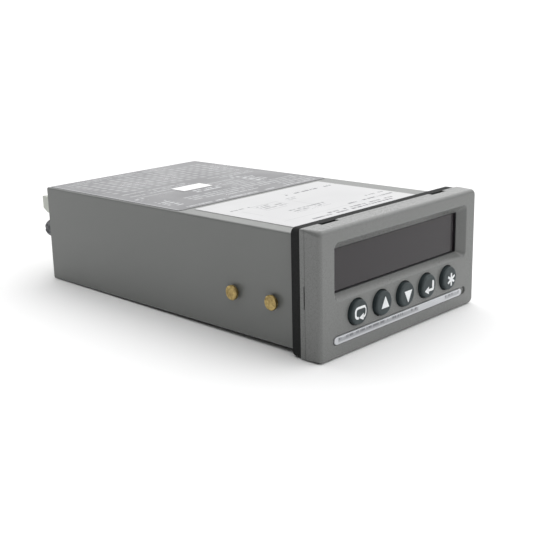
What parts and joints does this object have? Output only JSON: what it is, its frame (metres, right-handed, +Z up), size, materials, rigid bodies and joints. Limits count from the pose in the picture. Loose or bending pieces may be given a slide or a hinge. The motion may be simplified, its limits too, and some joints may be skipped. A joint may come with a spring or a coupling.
{
  "type": "frequency counter",
  "caption": "Panel-mount frequency counter: a long grey case with a smoked display window and round rubber keys in its bezel, side studs for panel clamps and plug-in rear terminals.",
  "frame": {"origin": "centre of the panel seat: the plane of the gasket's rear face, level with the middle of the bezel", "axes": "+X to the operator's right, seen from the front; +Y from the front to the rear; +Z up"},
  "size_m": [0.096, 0.1751, 0.0472],
  "materials": {
    "case_plastic": "fine moulded texture, satin",
    "rear_plastic": "fine moulded texture",
    "bezel_plastic": "fine moulded texture, satin",
    "gasket_rubber": "matt foam rubber",
    "mask_black": "matt black",
    "smoked_window": "smoked acrylic filter",
    "strip_silver": "satin silver plate",
    "key_rubber": "moulded silicone rubber",
    "stud_brass": "turned",
    "dark_steel": "blackened, knurled",
    "screw_steel": "plated",
    "circuit_board": "green solder resist",
    "digit_plastic": "black face with pale segments",
    "component_black": "moulded epoxy",
    "ribbon_grey": "flat cable",
    "core_steel": "stacked laminations",
    "coil_tape": "insulating tape over windings",
    "relay_plastic": "moulded box",
    "capacitor_sleeve": "shrink sleeve",
    "fuse_glass": "clear tube",
    "heat_sink_aluminium": "black anodised",
    "terminal_plastic": "pale grey-green moulding",
    "dark_label": "printed polyester label",
    "white_label": "printed label"
  },
  "bodies": {
    "housing": {"case_shell": "case_plastic", "rear_panel": "rear_plastic", "chassis_thumbscrews": "dark_steel", "clamp_studs": "stud_brass", "panel_gasket": "gasket_rubber", "bezel_rear_frame": "bezel_plastic", "bezel_front": "bezel_plastic", "display_mask": "mask_black", "display_window": "smoked_window", "label_strip": "strip_silver", "keypad_mat": "key_rubber", "display_board": "circuit_board", "display_board_screws": "screw_steel", "digit_module_left": "digit_plastic", "digit_module_right": "digit_plastic", "display_connector": "component_black", "ribbon_cable": "ribbon_grey", "main_board": "circuit_board", "power_board": "circuit_board", "board_pillars": "stud_brass", "transformer_core": "core_steel", "transformer_coil": "coil_tape", "relay_1": "relay_plastic", "relay_2": "relay_plastic", "filter_capacitor": "capacitor_sleeve", "fuse": "fuse_glass", "fuse_clips": "screw_steel", "heat_sink": "heat_sink_aluminium", "voltage_regulator": "component_black", "processor": "component_black", "timebase_crystal": "screw_steel", "connection_label": "dark_label", "rating_label": "white_label", "input_socket": "terminal_plastic", "output_socket": "terminal_plastic", "relay_socket": "terminal_plastic", "supply_socket": "terminal_plastic", "key_switch_1": "component_black", "key_switch_2": "component_black", "key_switch_3": "component_black", "key_switch_4": "component_black", "key_switch_5": "component_black"},
    "scroll_key": {"key_scroll": "key_rubber", "switch_plunger_1": "component_black"},
    "up_key": {"key_up": "key_rubber", "switch_plunger_2": "component_black"},
    "down_key": {"key_down": "key_rubber", "switch_plunger_3": "component_black"},
    "enter_key": {"key_enter": "key_rubber", "switch_plunger_4": "component_black"},
    "star_key": {"key_star": "key_rubber", "switch_plunger_5": "component_black"},
    "input_terminal_plug": {"input_plug": "terminal_plastic", "input_plug_screws": "screw_steel"},
    "output_terminal_plug": {"output_plug": "terminal_plastic", "output_plug_screws": "screw_steel"},
    "relay_terminal_plug": {"relay_plug": "terminal_plastic", "relay_plug_screws": "screw_steel"},
    "supply_terminal_plug": {"supply_plug": "terminal_plastic", "supply_plug_screws": "screw_steel"}
  },
  "joints": [
    {"name": "scroll_press", "type": "slide", "parent": "housing", "child": "scroll_key", "axis": [0, 1, 0], "range_m": [0, 0.001], "stiffness_N_per_m": 1500},
    {"name": "up_press", "type": "slide", "parent": "housing", "child": "up_key", "axis": [0, 1, 0], "range_m": [0, 0.001], "stiffness_N_per_m": 1500},
    {"name": "down_press", "type": "slide", "parent": "housing", "child": "down_key", "axis": [0, 1, 0], "range_m": [0, 0.001], "stiffness_N_per_m": 1500},
    {"name": "enter_press", "type": "slide", "parent": "housing", "child": "enter_key", "axis": [0, 1, 0], "range_m": [0, 0.001], "stiffness_N_per_m": 1500},
    {"name": "star_press", "type": "slide", "parent": "housing", "child": "star_key", "axis": [0, 1, 0], "range_m": [0, 0.001], "stiffness_N_per_m": 1500},
    {"name": "input_plug_pull", "type": "slide", "parent": "housing", "child": "input_terminal_plug", "axis": [0, 1, 0], "range_m": [0, 0.02]},
    {"name": "output_plug_pull", "type": "slide", "parent": "housing", "child": "output_terminal_plug", "axis": [0, 1, 0], "range_m": [0, 0.02]},
    {"name": "relay_plug_pull", "type": "slide", "parent": "housing", "child": "relay_terminal_plug", "axis": [0, 1, 0], "range_m": [0, 0.02]},
    {"name": "supply_plug_pull", "type": "slide", "parent": "housing", "child": "supply_terminal_plug", "axis": [0, 1, 0], "range_m": [0, 0.02]}
  ]
}
